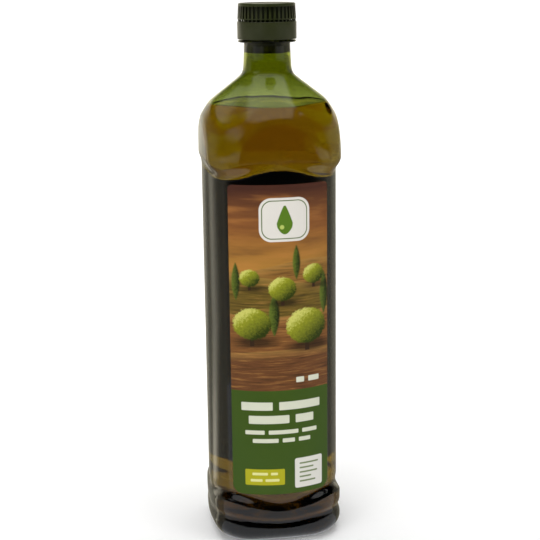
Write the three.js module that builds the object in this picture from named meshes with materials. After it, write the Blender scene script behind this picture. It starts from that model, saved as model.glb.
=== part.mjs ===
// A one litre olive oil bottle: a blown, transparent green bottle with a rounded square section,
// a ribbed screw cap on its tamper band, a dark pourer sleeve in the neck, and two paper labels.
// Millimetres, +Z up, the front label faces -Y, origin at the middle of the base.
import * as THREE from 'three';
import { mergeVertices } from 'three/addons/utils/BufferGeometryUtils.js';

// Sections are rounded squares: half width, radius of the bowed sides, radius of the corners.
const panelSection = { half: 36.15, side: 49.6, corner: 12.7 };
const shoulderSection = { half: 36.8, side: 226, corner: 19.5 };
const baseSection = { half: 36.4, side: 164, corner: 20 };

// Heights on the bottle, each at the middle of a side, and how far the corners lie above that.
const foot = { radius: 11.3, height: 9.2, ringInner: 21.5 };
const pinch = { z: 12.6, cornerRise: 2.6, depth: 1.1, width: 2.3 };
const ledge = { z: 23.4, cornerRise: 6.2, height: 4.6 };
const groove = { z: 207.7, cornerRise: -5.8, height: 5.6, cornerHeight: 9.2 };
const dome = { centreR: -8.9, centreZ: 208.8, radius: 51.3 };
const slope = { z: 255.1, run: 1.323, cornerLess: 0.33 };
const neck = { radius: 12.8, topRadius: 12.3, z: 271.2, mouthZ: 288.6, bore: 10.8 };
const supportRing = { radius: 15.4, thickness: 1, edge: 0.3 };
const edgeRound = 1.2;

// Walls and what lies against them.
const wall = 0.7;
const gap = 0.3;
const pushUp = { height: 8, wall: 1 };
const oilLevel = 239;

const cap = { topZ: 291.4, skirtZ: 283, radius: 15.5, topRadius: 15.2, bore: 13.7, ceilingZ: 289.4 };
const ribs = { count: 40, depth: 0.5, topZ: 290.1 };
const band = { topZ: 281.9, bottomZ: 272.7, radius: 15.7, bore: 13, bridge: 0.8, bridges: 20 };
const pourer = { bottomZ: 265.6, topZ: 286.4, radius: 10.4, bore: 8.6 };
const label = { halfWidth: 27.6, topZ: 200.4, bottomZ: 29.6, topCorner: 2.3, bottomCorner: 5, paper: 0.25 };

const steps = 48;

const smooth = (t) => {
  const x = Math.min(1, Math.max(0, t));
  return x * x * (3 - 2 * x);
};

// The lesser of two radii, with the edge between them rounded.
const softMin = (a, b) => {
  const h = Math.min(1, Math.max(0, 0.5 + 0.5 * (b - a) / edgeRound));
  return b + (a - b) * h - edgeRound * h * (1 - h);
};

// 0 at the middle of a side, 1 at a corner.
const cornerShare = (angle) => (1 - Math.cos(4 * angle)) / 2;

// Distance from the axis to a rounded square: the bowed side, then the corner's arc.
function sectionRadius({ half, side, corner }, angle) {
  const quarter = Math.PI / 2;
  const turn = Math.abs(angle - quarter * Math.round(angle / quarter));
  const spread = Math.acos((side - half) / ((side - corner) * Math.SQRT2)) - Math.PI / 4;
  const offset = (side - corner) * Math.sin(spread);
  const sideEnd = Math.atan2(offset + corner * Math.sin(spread), offset + corner * Math.cos(spread));
  if (turn < sideEnd) {
    const back = side - half;
    return Math.sqrt(side ** 2 - (back * Math.sin(turn)) ** 2) - back * Math.cos(turn);
  }
  const along = offset * (Math.sin(turn) + Math.cos(turn));
  return along + Math.sqrt(along ** 2 - 2 * offset ** 2 + corner ** 2);
}

// The lower part: the panels end on a ledge, under it a pinched line and a rounded foot.
function lowerRadius(angle, z) {
  const share = cornerShare(angle);
  const panel = sectionRadius(panelSection, angle);
  const below = smooth((ledge.z + ledge.cornerRise * share - z) / ledge.height);
  const fromPinch = (z - pinch.z - pinch.cornerRise * share) / pinch.width;
  const footShare = Math.min(1, Math.max(0, (foot.height - z) / foot.height));
  return panel + (sectionRadius(baseSection, angle) - panel) * below
    - pinch.depth * Math.exp(-(fromPinch ** 2))
    - foot.radius * (1 - Math.sqrt(1 - footShare ** 2));
}

// The upper part: a groove, the square shoulder cut out of a dome, and the slope to the neck.
function upperRadius(angle, z) {
  const share = cornerShare(angle);
  const panel = sectionRadius(panelSection, angle);
  const bevel = groove.height + (groove.cornerHeight - groove.height) * share;
  const above = smooth((z - groove.z - groove.cornerRise * share) / bevel);
  const shoulder = panel + (sectionRadius(shoulderSection, angle) - panel) * above;
  const overDome = Math.max(0, z - dome.centreZ);
  const domeRadius = dome.centreR + Math.sqrt(dome.radius ** 2 - overDome ** 2);
  const sloped = neck.radius + (slope.z - z) * (slope.run - slope.cornerLess * share);
  return softMin(softMin(shoulder, domeRadius), sloped);
}

const outerRadius = (angle, z) => (z < (ledge.z + groove.z) / 2 ? lowerRadius(angle, z) : upperRadius(angle, z));

// The surface a given depth inside the bottle's outside, measured square to it.
function insetRadius(angle, z, depth) {
  const rise = 0.2;
  const lean = (outerRadius(angle, z + rise) - outerRadius(angle, z - rise)) / (2 * rise);
  return outerRadius(angle, z) - depth * Math.min(2.2, Math.hypot(1, lean));
}

// Heights of the rows up the bottle's side, as [middle of a side, corner].
function sideRows() {
  const rows = [];
  for (const turn of [72, 54, 36, 18, 0]) {
    const z = foot.height * (1 - Math.sin(THREE.MathUtils.degToRad(turn)));
    rows.push([z, z]);
  }
  for (const off of [-1.3, -0.65, 0, 0.65]) {
    rows.push([pinch.z + off * pinch.width, pinch.z + pinch.cornerRise + off * pinch.width]);
  }
  for (const share of [1, 0.7, 0.35, 0]) {
    const z = ledge.z - share * ledge.height;
    rows.push([z, z + ledge.cornerRise]);
  }
  rows.push([116, 116]);
  for (const share of [0, 0.35, 0.7, 1]) {
    const corner = groove.z + groove.cornerRise + share * groove.cornerHeight;
    rows.push([groove.z + share * groove.height, corner]);
  }
  rows.push([218, 215.5], [223, 220], [228, 224.5], [232, 228.5], [235, 231.5]);
  rows.push([238, 234], [241, 236.5], [244, 239.5], [249, 247]);
  return rows;
}

// A ring of points: height and radius at each angle.
const sideRow = ([side, corner], depth) => (angle) => {
  const z = side + (corner - side) * cornerShare(angle);
  return { z, r: depth > 0 ? insetRadius(angle, z, depth) : outerRadius(angle, z) };
};
const roundRow = (r, z) => () => ({ z, r });

// A closed solid turned from its rows, which start and end on the axis or close on themselves.
function turned(rows, segments) {
  const profile = rows.map((row) => new THREE.Vector2(row(0).r, row(0).z));
  const lathe = new THREE.LatheGeometry(profile, segments);
  const place = lathe.attributes.position;
  for (let i = 0; i < place.count; i += 1) {
    const angle = (Math.floor(i / rows.length) % segments) * 2 * Math.PI / segments;
    const { r, z } = rows[i % rows.length](angle);
    place.setXYZ(i, r * Math.sin(angle), z, r * Math.cos(angle));
  }
  lathe.rotateX(Math.PI / 2);
  lathe.deleteAttribute('normal');
  lathe.deleteAttribute('uv');
  const solid = mergeVertices(lathe, 1e-5);
  solid.computeVertexNormals();
  return solid;
}

// The blown bottle, open at its mouth: outside upwards, then inside downwards.
function bottleShape() {
  const footRow = (angle) => ({ z: 0, r: lowerRadius(angle, 0) });
  const ringTop = neck.z + supportRing.thickness;
  const outside = [
    roundRow(0, pushUp.height),
    roundRow(foot.ringInner * 0.45, pushUp.height * 0.8),
    roundRow(foot.ringInner * 0.85, pushUp.height * 0.28),
    roundRow(foot.ringInner, 0),
    footRow,
    ...sideRows().map((row) => sideRow(row, 0)),
    roundRow(15.2, 253.4),
    roundRow(13.5, 255.4),
    roundRow(neck.radius, 258.5),
    roundRow(neck.topRadius, neck.z - 0.4),
    roundRow(supportRing.radius - supportRing.edge, neck.z),
    roundRow(supportRing.radius, neck.z + supportRing.edge),
    roundRow(supportRing.radius, ringTop - supportRing.edge),
    roundRow(supportRing.radius - supportRing.edge, ringTop),
    roundRow(neck.topRadius, ringTop),
    roundRow(neck.topRadius, neck.mouthZ),
  ];
  const inside = [
    roundRow(neck.bore, neck.mouthZ),
    roundRow(neck.bore, 262),
    roundRow(neck.radius - 1.2, 257),
    roundRow(13.2, 254),
    ...sideRows().slice(1).reverse().map((row) => sideRow(row, wall)),
    ...hollowFloor(pushUp.wall),
  ];
  return turned([...outside, ...inside], steps);
}

// Rows over the raised middle of the base, a given height above its underside, down to the axis.
function hollowFloor(above) {
  return [
    (angle) => ({ z: above + 0.5, r: lowerRadius(angle, 0) - 0.2 }),
    roundRow(foot.ringInner, above + 0.2),
    roundRow(foot.ringInner * 0.85, pushUp.height * 0.28 + above),
    roundRow(foot.ringInner * 0.45, pushUp.height * 0.8 + above),
    roundRow(0, pushUp.height + above),
  ];
}

// The oil, up to its level in the shoulder. Its rows run downwards like the hollow's, so that both
// split their twisted quads the same way, and its faces are then turned to point out.
function oilShape() {
  const depth = wall + gap;
  const levelRow = (angle) => ({ z: oilLevel, r: insetRadius(angle, oilLevel, depth + gap) });
  const below = sideRows().slice(2).filter(([side]) => side < oilLevel - 1).reverse();
  const rows = [
    roundRow(0, oilLevel),
    levelRow,
    ...below.map((row) => sideRow(row, depth)),
    ...hollowFloor(pushUp.wall + gap),
  ];
  const solid = turned(rows, steps);
  solid.index.array.reverse();
  solid.computeVertexNormals();
  return solid;
}

// The screw cap: straight ribs round its skirt under a plain rounded rim, hollow below.
function capShape() {
  const pitch = 2 * Math.PI / ribs.count;
  const inGroove = (angle) => Math.round(angle / pitch * 3) % 3 === 2;
  const ribRow = (r, z) => (angle) => ({ z, r: inGroove(angle) ? r - ribs.depth : r });
  const rows = [
    roundRow(0, cap.ceilingZ),
    roundRow(cap.bore, cap.ceilingZ),
    roundRow(cap.bore, cap.skirtZ),
    ribRow(cap.radius, cap.skirtZ),
    ribRow(cap.topRadius, ribs.topZ),
    roundRow(cap.topRadius - 0.1, ribs.topZ + 0.4),
    roundRow(cap.topRadius - 0.8, cap.topZ),
    roundRow(0, cap.topZ),
  ];
  return turned(rows, 3 * ribs.count);
}

// The tamper band, with the small bridges that stand up towards the cap.
function bandShape() {
  const pitch = 2 * Math.PI / band.bridges;
  const onBridge = (angle) => Math.round(angle / pitch * 3) % 3 === 0;
  const topRow = (r) => (angle) => ({ z: band.topZ + (onBridge(angle) ? band.bridge : 0), r });
  const rows = [
    roundRow(band.bore, band.bottomZ),
    roundRow(band.radius - 0.4, band.bottomZ),
    roundRow(band.radius, band.bottomZ + 0.8),
    roundRow(band.radius - 0.1, band.topZ - 0.4),
    topRow(band.radius - 0.5),
    topRow(band.radius - 1.1),
    roundRow(band.bore, band.topZ - 0.4),
    roundRow(band.bore, band.bottomZ),
  ];
  return turned(rows, 3 * band.bridges);
}

// The dark sleeve of the pourer, in the neck's bore.
function pourerShape() {
  return turned([
    roundRow(pourer.bore, pourer.bottomZ),
    roundRow(pourer.radius, pourer.bottomZ),
    roundRow(pourer.radius, pourer.topZ),
    roundRow(pourer.bore, pourer.topZ),
    roundRow(pourer.bore, pourer.bottomZ),
  ], steps);
}

// How far a rounded corner takes the label's edge back at a given distance from its side.
function cornerCut(radius, fromSide) {
  const into = Math.max(0, radius - fromSide);
  return radius - Math.sqrt(Math.max(0, radius ** 2 - into ** 2));
}

// A paper label: a thin box whose edges are cut to its outline, bent round the bowed front panel.
function labelShape() {
  const { halfWidth, topZ, bottomZ, topCorner, bottomCorner, paper } = label;
  const sheet = new THREE.BoxGeometry(2, 1, 1, 20, 1, 4);
  const place = sheet.attributes.position;
  for (let i = 0; i < place.count; i += 1) {
    const along = halfWidth * Math.sin(place.getX(i) * Math.PI / 2);
    const fromSide = halfWidth - Math.abs(along);
    const high = topZ - cornerCut(topCorner, fromSide);
    const low = bottomZ + cornerCut(bottomCorner, fromSide);
    const z = low + (high - low) * (place.getZ(i) + 0.5);
    const turn = along / panelSection.side;
    const out = panelSection.side + gap + (place.getY(i) < 0 ? paper : 0);
    const middle = panelSection.side - panelSection.half;
    place.setXYZ(i, out * Math.sin(turn), middle - out * Math.cos(turn), z);
  }
  sheet.deleteAttribute('normal');
  sheet.deleteAttribute('uv');
  const solid = mergeVertices(sheet, 1e-5);
  solid.computeVertexNormals();
  return solid;
}

const finish = (color, roughness) => new THREE.MeshStandardMaterial({ color, roughness, metalness: 0 });

function named(name, geometry, material) {
  const mesh = new THREE.Mesh(geometry, material);
  mesh.name = name;
  return mesh;
}

const paperFinish = finish(0x47601f, 0.5);
const backLabel = named('back_label', labelShape(), paperFinish.clone());
backLabel.rotation.z = Math.PI;

const group = new THREE.Group();
group.add(
  named('bottle', bottleShape(), finish(0x5f7a1e, 0.08)),
  named('oil', oilShape(), finish(0x8a6a10, 0.1)),
  named('pourer', pourerShape(), finish(0x141512, 0.4)),
  named('tamper_band', bandShape(), finish(0x3b3f28, 0.4)),
  named('cap', capShape(), finish(0x2a2f1c, 0.45)),
  named('front_label', labelShape(), paperFinish),
  backLabel,
);

export default group;
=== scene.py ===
import functools
import math
import bpy
from mathutils import Matrix, Vector


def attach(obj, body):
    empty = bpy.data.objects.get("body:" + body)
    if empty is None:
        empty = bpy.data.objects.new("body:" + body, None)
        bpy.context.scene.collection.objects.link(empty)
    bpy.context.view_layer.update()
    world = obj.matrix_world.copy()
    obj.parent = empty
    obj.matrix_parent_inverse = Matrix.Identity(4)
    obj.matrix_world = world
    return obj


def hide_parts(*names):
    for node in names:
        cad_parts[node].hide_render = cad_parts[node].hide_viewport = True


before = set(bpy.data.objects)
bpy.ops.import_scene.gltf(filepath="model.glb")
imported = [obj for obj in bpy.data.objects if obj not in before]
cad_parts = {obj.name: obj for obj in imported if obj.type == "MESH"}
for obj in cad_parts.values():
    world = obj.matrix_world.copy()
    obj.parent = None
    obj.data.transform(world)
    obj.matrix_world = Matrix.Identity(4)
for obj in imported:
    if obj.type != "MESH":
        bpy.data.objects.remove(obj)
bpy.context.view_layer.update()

mm = 0.001
tiny = 1e-5    # metres: how far off a point may lie and still count as on a plane or rim
print("frame loaded:", len(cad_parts), "nodes")


# Shared modelling helpers

def deselectAll():
    if bpy.context.object and bpy.context.object.mode != "OBJECT":
        bpy.ops.object.mode_set(mode="OBJECT")
    bpy.ops.object.select_all(action="DESELECT")


def startEdit(name):
    # the primitive that was just added gets its name, and edit mode opens with nothing selected
    piece = bpy.context.object
    piece.name = name
    piece.data.name = name
    bpy.ops.object.transform_apply(location=True, rotation=True, scale=True)
    bpy.ops.object.mode_set(mode="EDIT")
    bpy.ops.mesh.select_all(action="DESELECT")
    return piece


def pick(piece, kind, test):
    # selects the faces, edges or points of the piece in edit mode that pass the test
    bpy.ops.object.mode_set(mode="OBJECT")
    mesh = piece.data
    for group in (mesh.polygons, mesh.edges, mesh.vertices):
        group.foreach_set("select", [False] * len(group))
    if kind == "FACE":
        for face in mesh.polygons:
            face.select = test(face.center, face.normal)
    elif kind == "EDGE":
        for edge in mesh.edges:
            edge.select = test(*(mesh.vertices[i].co for i in edge.vertices))
    else:
        for vert in mesh.vertices:
            vert.select = test(vert.co)
    bpy.ops.object.mode_set(mode="EDIT")
    bpy.ops.mesh.select_mode(type=kind)


def endEdit(piece, smoothAngle=None, heal=True):
    bpy.ops.object.mode_set(mode="EDIT")
    bpy.ops.mesh.select_all(action="SELECT")
    if heal:
        bpy.ops.mesh.remove_doubles(threshold=1e-6)
        bpy.ops.mesh.normals_make_consistent(inside=False)
    bpy.ops.object.mode_set(mode="OBJECT")
    if smoothAngle is None:
        bpy.ops.object.shade_smooth()
    else:
        bpy.ops.object.shade_smooth_by_angle(angle=math.radians(smoothAngle))
    print("modelled", piece.name, len(piece.data.polygons), "faces")


def startCylinder(name, sizes):
    # a closed cylinder between its two heights, with edit mode open
    deselectAll()
    low, top = sizes["low"] * mm, sizes["top"] * mm
    bpy.ops.mesh.primitive_cylinder_add(vertices=sizes["sides"], radius=sizes["radius"] * mm,
                                        depth=top - low, location=(0, 0, (top + low) / 2))
    return startEdit(name), low, top


def sectorOf(centre, sides):
    # which side of the cylinder a face belongs to, counted round the axis
    step = 2 * math.pi / sides
    return int((math.atan2(centre.y, centre.x) + 2 * math.pi) / step)


def spinProfile(name, profile, turns):
    # a half profile of [radius, height], drawn by extruding one point, then spun round the axis
    deselectAll()
    bpy.ops.mesh.primitive_plane_add(size=mm, location=(0, 0, 0))
    piece = startEdit(name)
    bpy.ops.mesh.select_all(action="SELECT")
    bpy.ops.mesh.merge(type="CENTER")
    place = Vector((0, -profile[0][0], profile[0][1]))
    bpy.ops.transform.translate(value=place)
    for radius, height in profile[1:]:
        target = Vector((0, -radius, height))
        bpy.ops.mesh.extrude_region_move(TRANSFORM_OT_translate={"value": target - place})
        place = target
    bpy.ops.mesh.select_all(action="SELECT")
    bpy.ops.mesh.spin(steps=turns, angle=2 * math.pi, center=(0, 0, 0), axis=(0, 0, 1))
    bpy.ops.mesh.select_all(action="SELECT")
    bpy.ops.mesh.remove_doubles(threshold=1e-6)
    return piece


# Shader helpers: arithmetic on a Wire adds Math nodes

class Wire:
    def __init__(self, sheet, socket):
        self.sheet, self.socket = sheet, socket

    def math(self, operation, *values, clamp=False):
        return self.sheet.node("ShaderNodeMath", {"operation": operation, "use_clamp": clamp}, values)

    def __add__(self, other): return self.math("ADD", self, other)
    def __radd__(self, other): return self.math("ADD", other, self)
    def __sub__(self, other): return self.math("SUBTRACT", self, other)
    def __rsub__(self, other): return self.math("SUBTRACT", other, self)
    def __mul__(self, other): return self.math("MULTIPLY", self, other)
    def __rmul__(self, other): return self.math("MULTIPLY", other, self)
    def __truediv__(self, other): return self.math("DIVIDE", self, other)
    def __pow__(self, other): return self.math("POWER", self, other)
    def __neg__(self): return self.math("SUBTRACT", 0, self)
    def __abs__(self): return self.math("ABSOLUTE", self)
    def least(self, other): return self.math("MINIMUM", self, other)
    def most(self, other): return self.math("MAXIMUM", self, other)
    def root(self): return self.math("SQRT", self.most(0))
    def sine(self): return self.math("SINE", self)
    def unit(self): return self.math("ADD", self, 0, clamp=True)
    def ramp(self, start, end): return ((self - start) / (end - start)).unit()


class Sheet:
    def __init__(self, name, world=None):
        self.material = world or bpy.data.materials.new(name)
        self.material.use_nodes = True
        self.tree = self.material.node_tree
        self.tree.nodes.clear()
        self.end = self.tree.nodes.new("ShaderNodeOutputWorld" if world else "ShaderNodeOutputMaterial")

    def node(self, kind, settings=None, values=(), out=0):
        made = self.tree.nodes.new(kind)
        for key, value in (settings or {}).items():
            setattr(made, key, value)
        pairs = values.items() if isinstance(values, dict) else enumerate(values)
        for key, value in pairs:
            if isinstance(value, Wire):
                self.tree.links.new(value.socket, made.inputs[key])
            elif value is not None:
                made.inputs[key].default_value = value
        return Wire(self, made.outputs[out])

    def mix(self, share, first, second):
        return self.node("ShaderNodeMix", {"data_type": "RGBA"}, {0: share, 6: first, 7: second}, out=2)

    def place(self, scale=None):
        spot = self.node("ShaderNodeTexCoord", out="Object")
        if scale:
            spot = self.node("ShaderNodeMapping", None, {"Vector": spot, "Scale": scale})
        return spot

    def parts(self, vector):
        split = self.node("ShaderNodeSeparateXYZ", None, [vector])
        outs = split.socket.node.outputs
        return [Wire(self, outs[i]) for i in range(3)]

    def noise(self, spot, scale, detail=2, rough=0.5):
        return self.node("ShaderNodeTexNoise", None,
                         {"Vector": spot, "Scale": scale, "Detail": detail, "Roughness": rough})

    def bump(self, height, depth, strength=1):
        return self.node("ShaderNodeBump", None, {"Height": height, "Distance": depth, "Strength": strength})

    def principled(self, **values):
        inputs = {key.replace("_", " "): value for key, value in values.items()}
        return self.node("ShaderNodeBsdfPrincipled", None, inputs)

    def finish(self, surface, volume=None):
        self.tree.links.new(surface.socket, self.end.inputs["Surface"])
        if volume:
            self.tree.links.new(volume.socket, self.end.inputs["Volume"])
        return self.material


def rgb(red, green, blue, alpha=1):
    # a colour as a picture program shows it, 0 to 255
    def linear(level):
        part = level / 255
        return part / 12.92 if part <= 0.04045 else ((part + 0.055) / 1.055) ** 2.4
    return linear(red), linear(green), linear(blue), alpha


# Camera

cameraSizes = {"azimuth": -8.93, "distance": 0.688, "height": 0.3114, "pitch": 13.452,
               "roll": -0.707, "yaw": -0.0077, "lens": 85.44}


def makeCamera(sizes):
    lens = bpy.data.cameras.new("photoCamera")
    lens.lens, lens.sensor_width, lens.clip_start, lens.clip_end = sizes["lens"], 36, 0.01, 60
    camera = bpy.data.objects.new("photoCamera", lens)
    bpy.context.scene.collection.objects.link(camera)
    side = math.radians(sizes["azimuth"])
    place = Vector((sizes["distance"] * math.sin(side), -sizes["distance"] * math.cos(side), sizes["height"]))
    camera.matrix_world = (Matrix.Translation(place)
                           @ Matrix.Rotation(side + math.radians(sizes["yaw"]), 4, "Z")
                           @ Matrix.Rotation(math.radians(90 - sizes["pitch"]), 4, "X")
                           @ Matrix.Rotation(math.radians(sizes["roll"]), 4, "Z"))
    bpy.context.scene.camera = camera


makeCamera(cameraSizes)
print("camera set")


# The blown form: a rounded square whose radius changes with height, all in mm

form = {
    "panel": (36.15, 49.6, 12.7),       # half width, radius of the bowed side, radius of the corner
    "shoulder": (36.8, 226, 19.5),
    "base": (36.4, 164, 20),
    "footRadius": 11.3, "footHeight": 9.2, "ringInner": 21.5,
    "pinchZ": 12.6, "pinchRise": 2.6, "pinchDepth": 1.1, "pinchWidth": 2.3,
    "ledgeZ": 23.4, "ledgeRise": 6.2, "ledgeHeight": 4.6, "ledgeDip": 0.55, "ledgeLip": 0.45,
    "dipAbove": 1, "dipWidth": 2.2, "dipFade": 0.6, "footEnds": 115,
    "grooveZ": 207.7, "grooveRise": -5.8, "grooveHeight": 5.6, "grooveCorner": 9.2,
    "domeR": -8.9, "domeZ": 208.8, "domeRadius": 51.3,
    "slopeZ": 255.1, "slopeRun": 1.323, "slopeLess": 0.33,
    "neckR": 12.8, "neckTopR": 12.3, "neckZ": 271.2, "mouthZ": 288.6, "bore": 10.8,
    "edgeRound": 0.7, "creaseDepth": 0.3, "creaseWidth": 0.7, "pushUp": 8,
    "underTop": 12, "underFade": 3.5, "pressTop": 253.4, "pressFade": 3,
    # rows of points up the side: from, to, step
    "rows": [(9.2, 12.8, 0.9), (12.8, 24.2, 0.6), (24.2, 30, 1.2), (30, 196, 9), (196, 205.6, 1.6),
             (205.6, 214.6, 0.6), (214.6, 249.4, 0.75), (249.4, 252.4, 0.75)],
    # how far a row climbs towards the corners: height, climb
    "footRise": [(0, 0), (9.2, 0), (13, 2), (16.4, 2.6), (18.4, 4.6), (20.5, 6.2), (24, 6.2), (60, 0)],
}


def smooth(t):
    t = min(1, max(0, t))
    return t * t * (3 - 2 * t)


def softMin(a, b):
    h = min(1, max(0, 0.5 + 0.5 * (b - a) / form["edgeRound"]))
    return b + (a - b) * h - form["edgeRound"] * h * (1 - h)


def cornerShare(angle):
    return (1 - math.cos(4 * angle)) / 2


@functools.lru_cache(maxsize=None)
def sectionRadius(section, angle):
    half, side, corner = section
    quarter = math.pi / 2
    turn = abs(angle - quarter * round(angle / quarter))
    spread = math.acos((side - half) / ((side - corner) * math.sqrt(2))) - math.pi / 4
    offset = (side - corner) * math.sin(spread)
    sideEnd = math.atan2(offset + corner * math.sin(spread), offset + corner * math.cos(spread))
    if turn < sideEnd:
        back = side - half
        return math.sqrt(side ** 2 - (back * math.sin(turn)) ** 2) - back * math.cos(turn)
    along = offset * (math.sin(turn) + math.cos(turn))
    return along + math.sqrt(along ** 2 - 2 * offset ** 2 + corner ** 2)


def outerRadius(angle, z):
    share = cornerShare(angle)
    panel = sectionRadius(form["panel"], angle)
    if z < form["footEnds"]:
        ledgeZ = form["ledgeZ"] + form["ledgeRise"] * share
        below = smooth((ledgeZ - z) / form["ledgeHeight"])
        pinch = (z - form["pinchZ"] - form["pinchRise"] * share) / form["pinchWidth"]
        foot = min(1, max(0, (form["footHeight"] - z) / form["footHeight"]))
        over = (z - ledgeZ - form["dipAbove"]) / form["dipWidth"]
        dip = form["ledgeDip"] * math.exp(-over * over) * (1 - form["dipFade"] * share)
        base = sectionRadius(form["base"], angle) + form["ledgeLip"] * (1 - share)
        return (panel + (base - panel) * below - dip
                - form["pinchDepth"] * math.exp(-pinch ** 2)
                - form["footRadius"] * (1 - math.sqrt(1 - foot ** 2)))
    bevel = form["grooveHeight"] + (form["grooveCorner"] - form["grooveHeight"]) * share
    above = smooth((z - form["grooveZ"] - form["grooveRise"] * share) / bevel)
    shoulder = panel + (sectionRadius(form["shoulder"], angle) - panel) * above
    over = max(0, z - form["domeZ"])
    dome = form["domeR"] + math.sqrt(max(0, form["domeRadius"] ** 2 - over ** 2))
    sloped = form["neckR"] + (form["slopeZ"] - z) * (form["slopeRun"] - form["slopeLess"] * share)
    crease = form["creaseDepth"] * above * math.exp(-((shoulder - dome) / form["creaseWidth"]) ** 2)
    return softMin(softMin(shoulder, dome), sloped) - crease


def lean(z):
    return (outerRadius(0, z + 0.2) - outerRadius(0, z - 0.2)) / 0.4


def insetRadius(z, depth):
    # the radius of the middle of a side, that deep under the surface
    return outerRadius(0, z) - depth * min(2.2, math.hypot(1, lean(z)))


def between(z, points):
    # a value that goes straight from point to point
    for (lowZ, low), (highZ, high) in zip(points, points[1:]):
        if z <= highZ:
            return low + (high - low) * max(0, z - lowZ) / (highZ - lowZ)
    return points[-1][1]


def pressForm(piece, rise):
    # moves each point of a spun piece from the round onto the rounded square
    for vert in piece.data.vertices:
        x, y, z = (value / mm for value in vert.co)
        radius = math.hypot(x, y)
        if radius < 0.01 or z > form["pressTop"]:
            continue
        angle = round(math.atan2(x, -y), 5)
        if z < form["underTop"]:
            pull = smooth((radius - form["ringInner"]) / form["underFade"])
        else:
            pull = smooth((form["pressTop"] - z) / form["pressFade"])
        newZ = z + between(z, rise) * cornerShare(angle) * pull
        ratio = 1 + pull * (outerRadius(angle, newZ) / outerRadius(0, z) - 1)
        vert.co = (x * ratio * mm, y * ratio * mm, newZ * mm)


def spaced(start, end, step):
    count = max(1, round(abs(end - start) / step))
    return [start + (end - start) * i / count for i in range(count)]


def sideHeights():
    return [z for start, end, step in form["rows"] for z in spaced(start, end, step)]


# The bottle

bottleSizes = {
    "turns": 224, "wall": 0.55, "wallTop": 252.3, "baseWall": 1.2, "innerLift": 0.9,
    "ringR": 15.4, "ringThick": 1.0, "ringEdge": 0.3,
    "rise": form["footRise"] + [(165, 0), (205, -5.8), (208, -5.8), (214, -2), (222, -2.5), (236, -4),
                                (244, -4.5), (250, -2), (253.4, 0)],
    # the raised base: share of its radius, share of its height
    "dish": [(0, 1), (0.2, 0.97), (0.4, 0.86), (0.6, 0.62), (0.75, 0.4), (0.88, 0.18), (0.96, 0.05), (1, 0)],
    # outside and inside of the neck: radius, height
    "neck": [(15.2, 253.4), (14.3, 254.3), (13.6, 255.4), (13.1, 256.8), (12.85, 258.5), (12.6, 263),
             (12.35, 269)],
    "innerNeck": [(11, 262), (11.4, 259), (11.9, 256.8), (12.6, 255.2), (13.6, 254)],
}


def makeBottle(sizes):
    neckZ, ringR, edge = form["neckZ"], sizes["ringR"], sizes["ringEdge"]
    ringTop, mouthZ, bore = neckZ + sizes["ringThick"], form["mouthZ"], form["bore"]
    slim, wide = form["neckTopR"], form["neckTopR"] + 0.2
    inner, push, wall = form["ringInner"], form["pushUp"], sizes["wall"]
    under = [(inner * share, push * high) for share, high in sizes["dish"]]
    footTurns = [90 - 7.5 * i for i in range(12)]
    foot = [form["footHeight"] * (1 - math.sin(math.radians(turn))) for turn in footTurns]
    outside = under + [(outerRadius(0, z), z) for z in foot + sideHeights()]
    outside += sizes["neck"] + [
        (slim, neckZ - 0.5), (wide, neckZ - 0.1), (ringR - edge, neckZ), (ringR, neckZ + edge),
        (ringR, ringTop - edge), (ringR - edge, ringTop), (wide, ringTop + 0.1), (slim, ringTop + 0.5),
        (slim, mouthZ - 0.4), (slim - 0.4, mouthZ)]
    inside = [(bore + 0.3, mouthZ), (bore, mouthZ - 0.3), (bore, 266)] + sizes["innerNeck"]
    lower = [z for z in foot[3:] + sideHeights() if z < sizes["wallTop"]]
    inside += [(insetRadius(z, wall), z + (sizes["innerLift"] if z < 2 else 0)) for z in reversed(lower)]
    inside += [(inner * share, push * high + sizes["baseWall"]) for share, high in reversed(sizes["dish"])]
    profile = [(radius * mm, z * mm) for radius, z in outside + inside]
    piece = spinProfile("bottleShell", profile, sizes["turns"])
    bpy.ops.object.mode_set(mode="OBJECT")
    pressForm(piece, sizes["rise"])
    endEdit(piece)
    return piece


bottlePiece = makeBottle(bottleSizes)


# The oil: it reaches into the wall a little, so that no air shows between

oilSizes = {
    "turns": 200, "level": 239, "depth": 0.3, "rim": 0.5, "sink": 0.15, "rise": form["footRise"] + [(260, 0)],
    "lowRows": [1.6, 2.4, 3.4, 4.6, 6, 7.6],
    # how the surface climbs to the wall: in from the edge, up from the level
    "climb": [(2.6, 0.02), (1.4, 0.18), (0.6, 0.55)],
    "dish": [(1, 0), (0.88, 0.18), (0.6, 0.62), (0.3, 0.93), (0, 1)],
}


def makeOil(sizes):
    level, depth, rim = sizes["level"], sizes["depth"], sizes["rim"]
    edgeR = insetRadius(level + rim, depth)
    top = [(edgeR * share, level) for share in (0, 0.3, 0.6, 0.85)]
    top += [(edgeR - back, level + up) for back, up in sizes["climb"]] + [(edgeR, level + rim)]
    heights = [z for z in sizes["lowRows"] + sideHeights() if z < level + rim - 0.3]
    side = [(insetRadius(z, depth), z) for z in reversed(heights)]
    base = bottleSizes["baseWall"] - sizes["sink"]
    floor = [(form["ringInner"] * share, form["pushUp"] * high + base) for share, high in sizes["dish"]]
    profile = [(radius * mm, z * mm) for radius, z in top + side + floor]
    piece = spinProfile("oilFill", profile, sizes["turns"])
    bpy.ops.object.mode_set(mode="OBJECT")
    pressForm(piece, sizes["rise"])
    endEdit(piece)
    return piece


oilPiece = makeOil(oilSizes)


# The screw cap: a cylinder with its grip grooves pushed in, a rounded rim and a hollow under it

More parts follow.
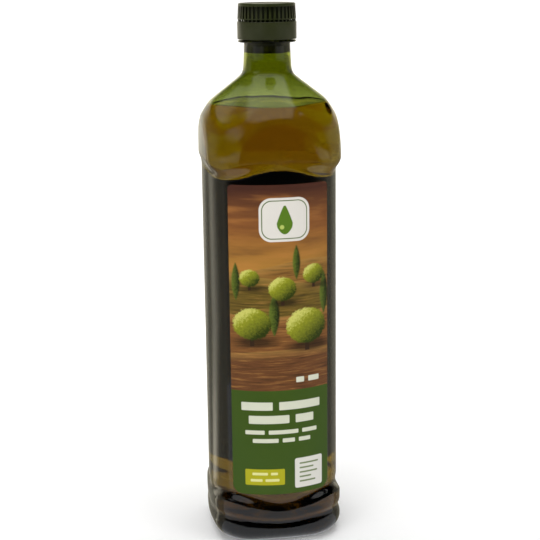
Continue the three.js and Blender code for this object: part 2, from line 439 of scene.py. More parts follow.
capSizes = {"sides": 240, "low": 283.0, "top": 291.4, "radius": 15.5, "topRadius": 15.15,
            "ribTop": 289.9, "ribLow": 283.5, "grooveEvery": 6, "grooveWide": 3, "grooveDepth": 0.55,
            "grooveEdge": 0.08, "rimWide": 1.7, "rimRound": 0.9, "stepWide": 0.25, "stepDeep": 0.18,
            "middleInset": 9, "bore": 13.7, "ceiling": 289.4}


def makeCap(sizes):
    piece, low, top = startCylinder("screwCap", sizes)
    for cut in (sizes["ribLow"], sizes["ribTop"]):
        bpy.ops.mesh.select_all(action="SELECT")
        bpy.ops.mesh.bisect(plane_co=(0, 0, cut * mm), plane_no=(0, 0, 1))
    pick(piece, "VERT", lambda co: co.z > sizes["ribTop"] * mm - tiny)
    slim = sizes["topRadius"] / sizes["radius"]
    bpy.ops.transform.resize(value=(slim, slim, 1), center_override=(0, 0, 0))

    def inGroove(centre, normal):
        inside = sizes["ribLow"] * mm < centre.z < sizes["ribTop"] * mm
        place = sectorOf(centre, sizes["sides"]) % sizes["grooveEvery"]
        return inside and abs(normal.z) < 0.5 and place < sizes["grooveWide"]

    pick(piece, "FACE", inGroove)
    bpy.ops.mesh.inset(thickness=sizes["grooveEdge"] * mm, depth=-sizes["grooveDepth"] * mm,
                       use_even_offset=True)
    pick(piece, "FACE", lambda centre, normal: normal.z > 0.9 and centre.z > top - tiny)
    bpy.ops.mesh.inset(thickness=sizes["rimWide"] * mm)
    bpy.ops.mesh.inset(thickness=sizes["stepWide"] * mm, depth=-sizes["stepDeep"] * mm)
    bpy.ops.mesh.inset(thickness=sizes["middleInset"] * mm)
    rim = sizes["topRadius"] * mm - 2 * tiny
    pick(piece, "EDGE", lambda a, b: min(a.z, b.z) > top - tiny and min(a.xy.length, b.xy.length) > rim)
    bpy.ops.mesh.bevel(offset=sizes["rimRound"] * mm, segments=5, profile=0.6, clamp_overlap=False)
    pick(piece, "FACE", lambda centre, normal: normal.z < -0.9 and centre.z < low + tiny)
    bpy.ops.mesh.inset(thickness=(sizes["radius"] - sizes["bore"]) * mm)
    bpy.ops.mesh.extrude_region_move(TRANSFORM_OT_translate={"value": (0, 0, sizes["ceiling"] * mm - low)})
    endEdit(piece, smoothAngle=38)
    return piece


capPiece = makeCap(capSizes)


# The tamper band, with the small bridges that held it to the cap

bandSizes = {"sides": 240, "low": 272.7, "top": 281.9, "radius": 15.7, "bore": 13.0, "lip": 0.4,
             "ledge": 0.6, "edgeRound": 0.35, "bridgeEvery": 6, "bridgeSides": (3, 4), "bridgeHigh": 0.9}


def makeBand(sizes):
    piece, _, _ = startCylinder("tamperBand", sizes)
    pick(piece, "FACE", lambda centre, normal: abs(normal.z) > 0.9)
    bpy.ops.mesh.inset(thickness=sizes["lip"] * mm)
    bpy.ops.mesh.inset(thickness=sizes["ledge"] * mm)

    def onBridge(centre, normal):
        inward = sizes["radius"] * mm - centre.xy.length
        place = sectorOf(centre, sizes["sides"]) % sizes["bridgeEvery"]
        return normal.z > 0.9 and 0.5 * mm < inward < 0.9 * mm and place in sizes["bridgeSides"]

    pick(piece, "FACE", onBridge)
    bpy.ops.mesh.extrude_region_move(TRANSFORM_OT_translate={"value": (0, 0, sizes["bridgeHigh"] * mm)})
    pick(piece, "FACE", lambda centre, normal: abs(normal.z) > 0.9 and centre.xy.length < 5 * mm)
    bpy.ops.mesh.inset(thickness=(sizes["radius"] - sizes["bore"] - sizes["lip"] - sizes["ledge"]) * mm)
    bpy.ops.mesh.bridge_edge_loops()
    rim = sizes["radius"] * mm - tiny
    pick(piece, "EDGE", lambda a, b: a.xy.length > rim and b.xy.length > rim and abs(a.z - b.z) < 1e-6)
    bpy.ops.mesh.bevel(offset=sizes["edgeRound"] * mm, segments=4, profile=0.5, clamp_overlap=False)
    endEdit(piece, smoothAngle=38)
    return piece


bandPiece = makeBand(bandSizes)


# The dark sleeve of the pourer, seen through the neck

sleeveSizes = {"sides": 96, "low": 265.6, "top": 286.4, "radius": 10.9, "bore": 8.6, "edgeRound": 0.5}


def makeSleeve(sizes):
    piece, low, _ = startCylinder("pourerSleeve", sizes)
    rim = sizes["radius"] * mm - tiny
    pick(piece, "EDGE", lambda a, b: max(a.z, b.z) < low + tiny and a.xy.length > rim)
    bpy.ops.mesh.bevel(offset=sizes["edgeRound"] * mm, segments=3)
    pick(piece, "FACE", lambda centre, normal: abs(normal.z) > 0.95 and centre.xy.length < 2 * mm)
    bpy.ops.mesh.inset(thickness=(sizes["radius"] - sizes["bore"] - sizes["edgeRound"]) * mm)
    bpy.ops.mesh.bridge_edge_loops()
    endEdit(piece, smoothAngle=38)
    return piece


sleevePiece = makeSleeve(sleeveSizes)


# The paper labels: a grid bent round the bowed panel

labelSizes = {"halfWidth": 27.6, "top": 200.4, "low": 29.6, "topCorner": 2.3, "lowCorner": 5.5,
              "lift": 0.1, "paper": 0.09, "columns": 72, "rows": 60}


def cornerCut(radius, fromSide):
    into = max(0, radius - fromSide)
    return radius - math.sqrt(max(0, radius ** 2 - into ** 2))


def makeLabel(name, sizes, turned):
    deselectAll()
    half, high = sizes["halfWidth"], sizes["top"] - sizes["low"]
    bpy.ops.mesh.primitive_grid_add(x_subdivisions=sizes["columns"], y_subdivisions=sizes["rows"], size=1)
    piece = startEdit(name)
    bpy.ops.object.mode_set(mode="OBJECT")
    mesh = piece.data
    layer = mesh.uv_layers[0]
    layer.name = "print"
    flat = []
    for vert in mesh.vertices:
        across = math.sin(vert.co.x * math.pi) * half    # more columns towards the rounded corners
        fromSide = half - abs(across)
        top = sizes["top"] - cornerCut(sizes["topCorner"], fromSide)
        low = sizes["low"] + cornerCut(sizes["lowCorner"], fromSide)
        z = low + (top - low) * (vert.co.y + 0.5)
        flat.append((across, z))
    for loop in mesh.loops:
        across, z = flat[loop.vertex_index]
        layer.data[loop.index].uv = (0.5 + across / (2 * half), (z - sizes["low"]) / high)
    panelHalf, side, _ = form["panel"]
    for vert, (across, z) in zip(mesh.vertices, flat):
        turn, out = across / side, side + sizes["lift"]
        place = Vector((out * math.sin(turn), side - panelHalf - out * math.cos(turn), z)) * mm
        vert.co = (-place.x, -place.y, place.z) if turned else place
    thick = piece.modifiers.new("paper", "SOLIDIFY")
    thick.thickness, thick.offset = sizes["paper"] * mm, 1
    bpy.ops.object.modifier_apply(modifier=thick.name)
    bpy.ops.object.shade_smooth_by_angle(angle=math.radians(40))
    print("modelled", name, len(mesh.polygons), "faces")
    return piece


frontPiece = makeLabel("frontLabel", labelSizes, False)
backPiece = makeLabel("backLabel", labelSizes, True)


# Finishes

plasticSizes = {
    # foot: darker towards the base, partly the thicker plastic there and partly painted shade
    "foot": rgb(112, 100, 48), "body": rgb(190, 196, 150), "shoulder": rgb(186, 196, 132),
    # window: painted shade, a deeper amber on the flat windows under the arches
    "windowShade": rgb(170, 150, 120), "neck": rgb(136, 145, 38),
    # between which heights each tint gives way to the next
    "footEnds": (6, 19), "shoulderStarts": (190, 220), "windowStarts": (206, 211), "neckStarts": (239, 257),
    "windowAt": 36.35, "windowBow": 452, "rough": 0.02, "sheen": (1, 1, 1, 1), "wetSheen": (0, 0, 0, 1),
}


def plasticFinish(name, sizes, sheen):
    sheet = Sheet(name)
    x, y, z = sheet.parts(sheet.place())
    high = z * 1000
    # darker towards the base: partly the thicker plastic, partly painted shade
    colour = sheet.mix(high.ramp(*sizes["footEnds"]), sizes["foot"], sizes["body"])
    colour = sheet.mix(high.ramp(*sizes["shoulderStarts"]), colour, sizes["shoulder"])
    # painted shade: the four flat windows under the arches get a deeper amber, standing in for the dark seen
    # straight through them
    far, near = abs(x).most(abs(y)) * 1000, abs(x).least(abs(y)) * 1000
    windowShade = ((far + near * near / sizes["windowBow"] - sizes["windowAt"]) * 3).unit()
    colour = sheet.mix(windowShade * high.ramp(*sizes["windowStarts"]), colour, sizes["windowShade"])
    colour = sheet.mix(high.ramp(*sizes["neckStarts"]), colour, sizes["neck"])
    ripple = sheet.noise(sheet.place((60, 60, 22)), 1, 3)
    surface = sheet.principled(Base_Color=colour, Roughness=sizes["rough"], IOR=1.57, Transmission_Weight=1,
                               Specular_Tint=sheen, Normal=sheet.bump(ripple, 0.0003, 0.3))
    return sheet.finish(surface)


oilFinishSizes = {"colour": (0.85, 0.7, 0.03, 1), "density": 68, "sheen": (0, 0, 0, 1)}


def oilFinish(sizes):
    sheet = Sheet("oliveOil")
    swirl = sheet.noise(sheet.place((20, 20, 9)), 1, 2)
    tint = sheet.mix(swirl, (1, 0.985, 0.93, 1), (0.98, 1, 0.9, 1))
    surface = sheet.principled(Base_Color=tint, Roughness=0, IOR=1.47, Transmission_Weight=1,
                               Specular_Tint=sizes["sheen"])
    volume = sheet.node("ShaderNodeVolumeAbsorption", None,
                        {"Color": sizes["colour"], "Density": sizes["density"]})
    return sheet.finish(surface, volume)


capFinishSizes = {"light": rgb(46, 51, 22), "dark": rgb(33, 38, 12), "grooveShade": rgb(12, 15, 3),
                  "band": rgb(45, 48, 27), "bandTop": 282.3, "grooveR": 15.38, "grooveTop": 289.7,
                  "sharp": 5, "rough": 0.24, "roughMore": 0.12}


def capFinish(sizes):
    sheet = Sheet("capPlastic")
    cloud = sheet.noise(sheet.place((1, 1, 1)), 180, 4, 0.6)
    grain = sheet.noise(sheet.place(), 2600, 3, 0.6)
    colour = sheet.mix(cloud, sizes["dark"], sizes["light"])
    x, y, z = sheet.parts(sheet.place())
    radius, high, sharp = (x * x + y * y).root() * 1000, z * 1000, sizes["sharp"]
    # painted shade: darker down in the grip grooves
    inGroove = ((sizes["grooveR"] - radius) * sharp).unit() * ((sizes["grooveTop"] - high) * sharp).unit()
    colour = sheet.mix(inGroove, colour, sizes["grooveShade"])
    onBand = ((sizes["bandTop"] - high) * sharp).unit() * (0.55 + cloud * 0.3)
    colour = sheet.mix(onBand, colour, sizes["band"])
    surface = sheet.principled(Base_Color=colour, Roughness=sizes["rough"] + cloud * sizes["roughMore"],
                               Normal=sheet.bump(grain, 0.00003, 0.5))
    return sheet.finish(surface)


sleeveFinishSizes = {"dark": rgb(7, 7, 7), "light": rgb(13, 13, 13), "rough": 0.3, "roughMore": 0.15}


def sleeveFinish(sizes):
    sheet = Sheet("pourerPlastic")
    grain = sheet.noise(sheet.place(), 900, 3)
    colour = sheet.mix(grain, sizes["dark"], sizes["light"])
    rough = sizes["rough"] + grain * sizes["roughMore"]
    return sheet.finish(sheet.principled(Base_Color=colour, Roughness=rough))


class Print:
    # masks on the label, in mm: across from its middle, and height on the bottle
    def __init__(self, sheet, sizes):
        self.sheet = sheet
        spot = sheet.node("ShaderNodeUVMap", {"uv_map": "print"})
        u, v, _ = sheet.parts(spot)
        self.across = (u - 0.5) * (2 * sizes["halfWidth"])
        self.high = v * (sizes["top"] - sizes["low"]) + sizes["low"]
        self.spot = sheet.node("ShaderNodeCombineXYZ", None, [self.across, self.high, 0])

    def streaks(self, turn, across, high):
        # coordinates for a noise that is drawn out along one direction
        return self.sheet.node("ShaderNodeMapping", None, {
            "Vector": self.spot, "Rotation": (0, 0, math.radians(turn)), "Scale": (across, high, 1)})

    def local(self, x, y, turn=0):
        dx, dy = self.across - x, self.high - y
        if not turn:
            return dx, dy
        cos, sin = math.cos(math.radians(turn)), math.sin(math.radians(turn))
        return dx * cos + dy * sin, dy * cos - dx * sin

    def disc(self, x, y, radius, soft=0.25):
        dx, dy = self.local(x, y)
        return ((radius - (dx * dx + dy * dy).root()) / soft + 0.5).unit()

    def oval(self, x, y, long, wide, soft):
        along, over = self.local(x, y)
        far = ((along / long) ** 2 + (over / wide) ** 2).root()
        return ((1 - far) * (wide / soft) + 0.5).unit()

    def leaf(self, x, y, long, wide, turn, bend=0.0, soft=0.3):
        along, over = self.local(x, y, turn)
        share = along / long
        over = over - bend * (1 - share * share)
        width = wide * (1 - share * share)
        inside = ((width - abs(over)) / soft + 0.5).unit() * ((1 - abs(share)) * 20).unit()
        return inside, share, over / wide

    def bar(self, x, y, halfLong, halfHigh, curve, soft=0.25):
        dx, dy = self.local(x, y)
        sideways = (abs(dx) - (halfLong - curve)).most(0)
        upwards = (abs(dy) - (halfHigh - curve)).most(0)
        return ((curve - (sideways * sideways + upwards * upwards).root()) / soft + 0.5).unit()

    def words(self, y, halfHigh, *spans, soft=0.25, curve=0.45):
        # one line of plain bars, each from one place across to another
        nearest = None
        for start, end in spans:
            over = (abs(self.across - (start + end) / 2) - ((end - start) / 2 - curve)).most(0)
            nearest = over if nearest is None else nearest.least(over)
        up = (abs(self.high - y) - (halfHigh - curve)).most(0)
        return ((curve - (nearest * nearest + up * up).root()) / soft + 0.5).unit()


frontPrint = {
    "skyTop": rgb(74, 40, 27), "skyMiddle": rgb(136, 84, 37), "skyLow": rgb(164, 116, 46),
    "cloudDark": rgb(58, 32, 24), "cloudLight": rgb(190, 126, 60),
    "furrowDark": rgb(46, 34, 16), "furrowLight": rgb(176, 124, 62), "brow": rgb(196, 150, 74),
    # hills: height, swell, length of the swell, start of the swell, colour
    "hills": [(157, 3.4, 15, 0.4, rgb(132, 92, 38)), (148, 3.8, 19, 2.6, rgb(104, 84, 26)),
              (133, 3.2, 23, 5.0, rgb(122, 78, 36)), (109, 2.6, 26, 1.2, rgb(104, 64, 32))],
    # crowns: across, height, half width, half height
    "crowns": [(-16.5, 151, 5.4, 4.6), (18.5, 152, 6.2, 5.2), (1, 145, 7.4, 6.4), (-15.5, 126, 10.4, 8.6),
               (14.5, 124, 11.6, 9.6)],
    "crownDark": rgb(44, 56, 4), "crown": rgb(158, 162, 28), "crownLight": rgb(214, 212, 120),
    "shadow": rgb(28, 20, 8), "trunk": rgb(52, 34, 18),
    # poplars: across, height, half height, half width
    "poplars": [(-24, 149, 10.5, 2.3), (8.6, 159, 9.5, 2.1), (25, 141, 12, 2.6), (-3.6, 131, 12, 2.8)],
    "poplarDark": rgb(22, 34, 8), "poplar": rgb(92, 108, 30),
    # a plate: across, height, half length, half height, radius of its corners
    "plaque": (2.5, 182, 13.6, 11.6, 6.5), "frame": [(2.5, 182, 12.3, 10.3, 5.4), (2.5, 182, 11.8, 9.8, 5.0)],
    "plate": rgb(216, 212, 204), "frameGreen": rgb(74, 98, 30),
    "drop": (2.5, 179.7), "dropScale": 1.15, "dropWide": 4.4, "dropGreen": rgb(84, 118, 26),
    "gleam": (1.0, 178.1, 1.15, 0.5), "gleamGreen": rgb(176, 190, 96),
    "fieldTop": 88.9, "field": rgb(62, 84, 16), "fieldDark": rgb(54, 80, 20),
    # lines of bars: height, half height, then from and to of each bar
    "lines": [(80.2, 2.3, (-22, -5), (-1.5, 22)), (72.6, 2.3, (-18, 4), (7.5, 18)),
              (65.4, 1.15, (-20, -9.5), (-7.3, 9), (11.2, 20)), (60.6, 1.15, (-16, -2), (0.2, 7), (9.2, 16)),
              (94.4, 1.5, (8, 12.5), (15, 21.5))],
    "pale": rgb(206, 208, 188),
    "panel": (15.2, 41, 8.3, 8.6, 1.2), "panelPale": rgb(214, 212, 204), "panelInk": rgb(112, 128, 84),
    "panelLines": [(46.4, 0.45, (9.5, 21)), (43.8, 0.45, (9.5, 18)), (41.2, 0.45, (9.5, 20.4)),
                   (38.6, 0.45, (9.5, 16.5)), (36, 0.45, (9.5, 19.2))],
    "sticker": (-9.6, 39.6, 10.8, 4.6, 0.7), "stickerGreen": rgb(170, 166, 18),
    "stickerLines": [(41.5, 0.75, (-16.5, -8), (-6.4, -2.6)), (37.8, 0.75, (-17.5, -11), (-9.4, -1.8))],
    "stickerPale": rgb(218, 216, 144),
}


def frontFinish(sizes, label):
    sheet = Sheet("frontLabelPrint")
    art = Print(sheet, label)
    bands = sheet.noise(art.streaks(-6, 0.026, 0.17), 1.0, 3, 0.55)
    rows = sheet.noise(art.streaks(-14, 0.06, 0.9), 1.0, 5, 0.65)
    leaves = sheet.noise(art.spot, 0.75, 4, 0.7)
    # the evening sky, with long soft clouds
    colour = sheet.mix(art.high.ramp(158, 178), sizes["skyLow"], sizes["skyMiddle"])
    colour = sheet.mix(art.high.ramp(176, 198), colour, sizes["skyTop"])
    colour = sheet.mix(((0.5 - bands) * 4).unit() * 0.55, colour, sizes["cloudDark"])
    colour = sheet.mix(((bands - 0.52) * 4).unit() * 0.5, colour, sizes["cloudLight"])
    # ploughed hills, the far ones first
    for high, swell, length, start, tone in sizes["hills"]:
        under = (art.across / length + start).sine() * swell + high - art.high
        ground = sheet.mix(((rows - 0.53) * 6).unit() * 0.6, tone, sizes["furrowLight"])
        ground = sheet.mix(((0.49 - rows) * 6).unit() * 0.7, ground, sizes["furrowDark"])
        ground = sheet.mix((1 - under / 5).unit() * 0.35, ground, sizes["brow"])
        colour = sheet.mix((under / 0.4 + 0.5).unit(), colour, ground)
    for x, y, tall, wide in sizes["poplars"]:
        inside, _, over = art.leaf(x, y, tall, wide, 90, 0, 0.9)
        light = (0.5 + over * 0.6 + (leaves - 0.5) * 1.6).unit()
        colour = sheet.mix(inside, colour, sheet.mix(light, sizes["poplarDark"], sizes["poplar"]))
    for x, y, wide, tall in sizes["crowns"]:
        shade = art.oval(x + 2, y - tall - 1.2, wide * 1.05, tall * 0.34, 2.4)
        colour = sheet.mix(shade * 0.75, colour, sizes["shadow"])
        trunk = art.bar(x, y - tall, wide * 0.09 + 0.25, tall * 0.42, 0.2)
        colour = sheet.mix(trunk, colour, sizes["trunk"])
        along, over = art.local(x, y)
        far = ((along / wide) ** 2 + (over / tall) ** 2).root() + (leaves - 0.5) * 0.5
        light = (0.5 - along / (2.4 * wide) + over / (2.1 * tall) + (leaves - 0.5) * 0.9).unit()
        tone = sheet.mix(light, sizes["crownDark"], sizes["crown"])
        tone = sheet.mix(((light - 0.72) * 3.2).unit() * 0.7, tone, sizes["crownLight"])
        colour = sheet.mix(((1 - far) * (tall / 0.7) + 0.5).unit(), colour, tone)
    # a plain pale plaque with one simple drop
    colour = sheet.mix(art.bar(*sizes["plaque"]), colour, sizes["plate"])
    outer, inner = (art.bar(*plate) for plate in sizes["frame"])
    colour = sheet.mix(outer * (1 - inner), colour, sizes["frameGreen"])
    dx, dy = (side / sizes["dropScale"] for side in art.local(*sizes["drop"]))
    halfWide = sizes["dropWide"] * ((dy + 4.7) / 5.2).unit().root() * (1 - ((dy + 1.6) / 10.6).unit()) ** 0.8
    drop = ((halfWide - abs(dx)) / 0.3 + 0.5).unit() * ((dy + 4.9) * 4).unit() * ((8.6 - dy) * 4).unit()
    colour = sheet.mix(drop, colour, sizes["dropGreen"])
    colour = sheet.mix(art.disc(*sizes["gleam"]), colour, sizes["gleamGreen"])
    # the green field and what stands on it
    field = sheet.mix(sheet.noise(art.spot, 0.06, 2), sizes["field"], sizes["fieldDark"])
    colour = sheet.mix(((sizes["fieldTop"] - art.high) / 0.25 + 0.5).unit(), colour, field)
    for line in sizes["lines"]:
        colour = sheet.mix(art.words(*line), colour, sizes["pale"])
    colour = sheet.mix(art.bar(*sizes["panel"]), colour, sizes["panelPale"])
    for line in sizes["panelLines"]:
        colour = sheet.mix(art.words(*line), colour, sizes["panelInk"])
    colour = sheet.mix(art.bar(*sizes["sticker"]), colour, sizes["stickerGreen"])
    for line in sizes["stickerLines"]:
        colour = sheet.mix(art.words(*line), colour, sizes["stickerPale"])
    return labelSurface(sheet, colour)


def labelSurface(sheet, colour):
    # the printed side faces out, the glued side is bare paper
    x, y, _ = sheet.parts(sheet.place())
    _, normalY, _ = sheet.parts(sheet.node("ShaderNodeNewGeometry", out="Normal"))
    inward = (-(normalY * y) * 10000).unit()
    fibre = sheet.noise(sheet.place(), 1500, 3)
    paper = sheet.mix(fibre, rgb(150, 146, 130), rgb(166, 162, 146))
    colour = sheet.mix(inward, colour, paper)
    surface = sheet.principled(Base_Color=colour, Roughness=0.4 + fibre * 0.12, Specular_IOR_Level=0.25,
                               Normal=sheet.bump(fibre, 0.00002, 0.6))
    return sheet.finish(surface)


backPrint = {
    "field": rgb(66, 92, 22), "fieldDark": rgb(58, 86, 24), "pale": rgb(218, 214, 200),
    "ink": rgb(74, 92, 40), "plate": (0, 112, 24, 62, 2),
    "linesTop": 166, "lineStep": 4.2, "lineCount": 12, "lineStart": -20.5,
    "reaches": (19.5, 17, 20.5, 12),
    "rowsTop": 104, "rowStep": 7.4, "rowCount": 5, "rule": rgb(120, 132, 84),
    "badge": (0, 186, 9), "badgeYellow": rgb(176, 172, 24), "leaf": (0, 186, 7, 2.6, 58, 0.6),
    "leafDark": rgb(48, 76, 26), "leafLight": rgb(92, 124, 44),
    "lowLines": [(42, 0.9, (-19, -6), (-3.6, 12)), (38, 0.9, (-19, 2), (4.4, 16))],
    "lowPale": rgb(206, 210, 186),
}


def backFinish(sizes, label):
    sheet = Sheet("backLabelPrint")
    art = Print(sheet, label)
    field = sheet.mix(sheet.noise(art.spot, 0.06, 2), sizes["field"], sizes["fieldDark"])
    colour = sheet.mix(art.bar(*sizes["plate"]), field, sizes["pale"])
    start = sizes["lineStart"]
    for index in range(sizes["lineCount"]):
        reach = sizes["reaches"][index % 4]
        line = art.words(sizes["linesTop"] - index * sizes["lineStep"], 0.8, (start, start + reach * 0.8),
                         (start + 2.2 + reach * 0.8, reach))
        colour = sheet.mix(line, colour, sizes["ink"])
    for index in range(sizes["rowCount"]):
        high = sizes["rowsTop"] - index * sizes["rowStep"]
        line = art.words(high, 0.9, (start, -3 - 2 * (index % 3)), (9, 19.5))
        colour = sheet.mix(line, colour, sizes["ink"])
        colour = sheet.mix(art.bar(0, high - 3.7, 20.8, 0.18, 0.1), colour, sizes["rule"])
    colour = sheet.mix(art.disc(*sizes["badge"]), colour, sizes["badgeYellow"])
    inside, _, over = art.leaf(*sizes["leaf"])
    tone = sheet.mix((over * 6 + 0.5).unit(), sizes["leafDark"], sizes["leafLight"])
    colour = sheet.mix(inside, colour, tone)
    for line in sizes["lowLines"]:
        colour = sheet.mix(art.words(*line), colour, sizes["lowPale"])
    return labelSurface(sheet, colour)


plastic = plasticFinish("greenBottlePlastic", plasticSizes, plasticSizes["sheen"])
wetPlastic = plasticFinish("wetInnerPlastic", plasticSizes, plasticSizes["wetSheen"])
oil = oilFinish(oilFinishSizes)
capPlastic = capFinish(capFinishSizes)
sleevePlastic = sleeveFinish(sleeveFinishSizes)
frontPaper = frontFinish(frontPrint, labelSizes)
backPaper = backFinish(backPrint, labelSizes)
print("finishes made")


def dress(piece, node, material):
    piece.data.materials.clear()
    piece.data.materials.append(material)
    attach(piece, "root")
    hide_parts(node)


dress(bottlePiece, "bottle", plastic)
dress(oilPiece, "oil", oil)
dress(capPiece, "cap", capPlastic)
dress(bandPiece, "tamper_band", capPlastic)
dress(sleevePiece, "pourer", sleevePlastic)
dress(frontPiece, "front_label", frontPaper)
dress(backPiece, "back_label", backPaper)


def wetInside(piece, material, level):
    # the inner wall under the oil hardly shines, because oil lies against it
    piece.data.materials.append(material)
    for face in piece.data.polygons:
        centre, normal = face.center, face.normal
        inward = normal.x * centre.x + normal.y * centre.y < -0.3 * centre.xy.length
        if centre.z < level and (inward or (normal.z > 0.3 and centre.z < 12 * mm)):
            face.material_index = 1


wetInside(bottlePiece, wetPlastic, (oilSizes["level"] + oilSizes["rim"]) * mm)
print("pieces dressed")


# Stage and light

floorSizes = {"size": 40, "drop": 0.0002, "pale": 0.9, "glow": 0.8, "glowNear": (-0.1, 0.3),
              "glowFar": (0.6, 2.1), "allRound": (0.35, 0.95)}


def makeFloor(sizes):
    deselectAll()
    bpy.ops.mesh.primitive_plane_add(size=sizes["size"], location=(0, 0, -sizes["drop"]))
    floor = bpy.context.object
    floor.name = "paleFloor"
    bpy.ops.object.transform_apply(location=True, rotation=True, scale=True)
    floor.visible_glossy = False    # gloss shows the darker studio round the table instead
    sheet = Sheet("paleFloor")
    x, y, _ = sheet.parts(sheet.place())
    pale = sizes["pale"]
    shade = sheet.mix(sheet.noise(sheet.place(), 6, 2) * 0.02, (pale, pale, pale, 1), (0.8, 0.8, 0.8, 1))
    glow = y.ramp(*sizes["glowNear"]) * 0.6 + y.ramp(*sizes["glowFar"]) * 0.4
    # straight from the camera the floor is evenly pale all round
    seen = sheet.node("ShaderNodeLightPath", out="Is Camera Ray")
    glow = glow.most((x * x + y * y).root().ramp(*sizes["allRound"]) * seen)
    glow = sheet.mix(glow, (0, 0, 0, 1), (1, 1, 1, 1))
    floor.data.materials.append(sheet.finish(sheet.principled(
        Base_Color=shade, Roughness=0.7, Emission_Color=glow, Emission_Strength=sizes["glow"],
        Specular_IOR_Level=0.1)))


cardSizes = {"y": -0.09, "long": 0.6, "wide": 0.14,
             "dark": (0.55, 0.57, 0.6, 1), "light": (0.65, 0.67, 0.7, 1)}


def makeCard(sizes):
    # a grey card on the table, which only the gloss on the foot of the bottle shows
    deselectAll()
    bpy.ops.mesh.primitive_plane_add(size=1, location=(0, sizes["y"], 0))
    card = bpy.context.object
    card.name = "greyCard"
    bpy.ops.transform.resize(value=(sizes["long"], sizes["wide"], 1))
    bpy.ops.object.transform_apply(location=True, rotation=True, scale=True)
    card.visible_camera = card.visible_diffuse = card.visible_transmission = card.visible_shadow = False
    sheet = Sheet("greyCard")
    grey = sheet.mix(sheet.noise(sheet.place(), 8, 2), sizes["dark"], sizes["light"])
    card.data.materials.append(sheet.finish(sheet.principled(
        Base_Color=(0, 0, 0, 1), Roughness=1, Emission_Color=grey, Emission_Strength=1,
        Specular_IOR_Level=0)))


# how bright each part of the studio is, and between which directions it lies
studioSizes = {
    "wall": 0.3, "wallStarts": (-0.1, 0.2), "behind": 0.25, "behindStarts": (0.85, 0.95),
    "beside": 0.35, "besideStarts": (-0.65, -0.1), "besideEnds": (0, 0.3), "low": (-0.05, 0.1),
    "strip": 0.75, "stripAt": -0.81, "stripWide": 0.14, "stripLean": 1.2, "leanStarts": 0.27,
    "stripMore": (0.29, 0.37), "stripLess": (0.375, 0.42),
    "horizon": 0.6, "horizonHigh": (-0.18, -0.08), "horizonStarts": (0.6, 0.85), "wallEnds": (0.2, 0.5),
    "frontSky": 0.01, "frontFloor": 0.12, "frontStarts": (0.05, 0.3),
    "overhead": 0.8, "overheadEnds": (0.52, 0.6), "streak": 2, "streakAt": 0.7, "streakWide": 0.07,
    "ceilingStarts": (0.68, 0.8), "keySpot": 0.6, "keyAt": (-0.8, 0.52), "keyWide": 0.25,
    "panels": 0.42, "gapAt": 0.06, "gapEnds": (0.42, 0.58), "panelLow": (0.08, 0.12),
    "panelHigh": (-0.01, 0.05),
    "warm": (1, 0.945, 0.76), "backdrop": (0.93, 0.93, 0.93, 1),
}


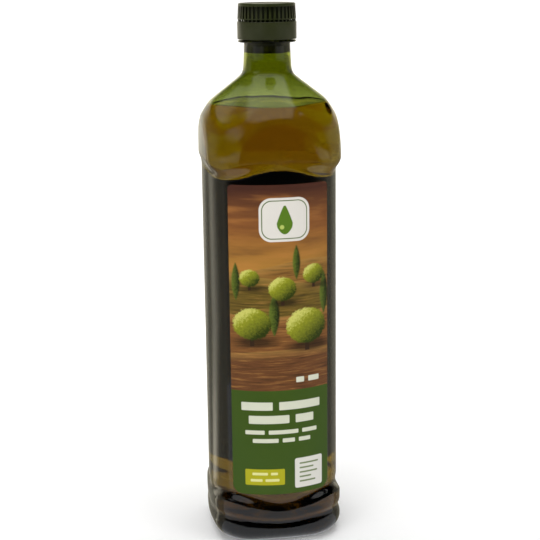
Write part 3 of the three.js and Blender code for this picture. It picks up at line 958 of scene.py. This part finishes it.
def makeStudio(sizes):
    # soft walls at the sides and behind, a pale ceiling, two low panels in front and little else there
    scene = bpy.context.scene
    scene.world = bpy.data.worlds.new("softStudio")
    sheet = Sheet("softStudio", scene.world)
    x, y, z = sheet.parts(sheet.node("ShaderNodeTexCoord", out="Generated"))

    def step(value, ends):
        share = value.ramp(*ends)
        return share * share * (3 - 2 * share)

    def around(value, middle, reach):
        return 1 - step(abs(value - middle), (0, reach))

    across, down = x - 0.16 * y, -z
    low = step(down, sizes["low"])
    wall = step(y, sizes["wallStarts"]) * sizes["wall"] + step(y, sizes["behindStarts"]) * sizes["behind"]
    beside = step(y, sizes["besideStarts"]) * (1 - step(y, sizes["besideEnds"])) * low
    wall = wall + beside * sizes["beside"]
    lean = (down - sizes["leanStarts"]).most(0) * sizes["stripLean"]
    strip = around(across - lean, sizes["stripAt"], sizes["stripWide"]) * step(y, sizes["besideEnds"]) * low
    strip = strip * (1 + step(down, sizes["stripMore"]) * 0.7) * (1 - step(down, sizes["stripLess"]) * 0.6)
    wall = wall + strip * sizes["strip"]
    wall = wall + step(z, sizes["horizonHigh"]) * step(y, sizes["horizonStarts"]) * sizes["horizon"]
    wall = wall * (1 - step(z, sizes["wallEnds"]))
    table = step(down, (-0.02, 0.04)) * step(down, (0.14, 0.26)) * (1 - step(down, (0.42, 0.52)))
    front = step(-y, sizes["frontStarts"]) * (sizes["frontSky"] + table * sizes["frontFloor"])
    ceiling = (1 - step(abs(across), sizes["overheadEnds"])) * sizes["overhead"]
    ceiling = ceiling + around(across, sizes["streakAt"], sizes["streakWide"]) * sizes["streak"]
    keyX, keyZ = sizes["keyAt"]
    spot = around(x, keyX, sizes["keyWide"]) * around(z, keyZ, sizes["keyWide"]) * step(-y, (0, 0.2))
    # the neck and the band mirror the two panels and the dark gap between them
    panels = step(abs(x - sizes["gapAt"]), sizes["gapEnds"]) * step(-y, (0, 0.2))
    panels = panels * (1 - step(down, sizes["panelLow"])) * (1 - step(z, sizes["panelHigh"]))
    ceiling = ceiling * step(z, sizes["ceilingStarts"])
    rest = front + ceiling + spot * sizes["keySpot"] + panels * sizes["panels"]
    shade = sheet.node("ShaderNodeCombineColor", None, [wall * part + rest for part in sizes["warm"]])
    # and the camera itself sees a plain pale backdrop
    seen = sheet.node("ShaderNodeLightPath", out="Is Camera Ray")
    shade = sheet.mix(seen, shade, sizes["backdrop"])
    sheet.finish(sheet.node("ShaderNodeBackground", None, {"Color": shade, "Strength": 1}))
    scene.view_settings.view_transform = "Standard"


# softboxes: name, place, aim, width, height, power
softboxes = [("leftBox", (-0.7, -1.0, 0.6), (0, 0, 0.15), 0.9, 0.9, 8.5),
             ("rightBox", (0.8, -0.8, 0.6), (0, 0, 0.15), 0.6, 0.9, 4.2),
             ("topBox", (0, 0.1, 1.3), (0, 0, 0), 1.2, 1.2, 10)]


def addSoftbox(name, place, target, width, height, power):
    # lights without showing in gloss, where the studio's own walls show
    light = bpy.data.lights.new(name, "AREA")
    light.shape, light.size, light.size_y, light.energy = "RECTANGLE", width, height, power
    lamp = bpy.data.objects.new(name, light)
    bpy.context.scene.collection.objects.link(lamp)
    lamp.location = place
    lamp.rotation_euler = (Vector(target) - Vector(place)).to_track_quat("-Z", "Y").to_euler()
    lamp.visible_glossy = lamp.visible_transmission = False


makeFloor(floorSizes)
makeCard(cardSizes)
makeStudio(studioSizes)
for softbox in softboxes:
    addSoftbox(*softbox)
print("stage and lights made")
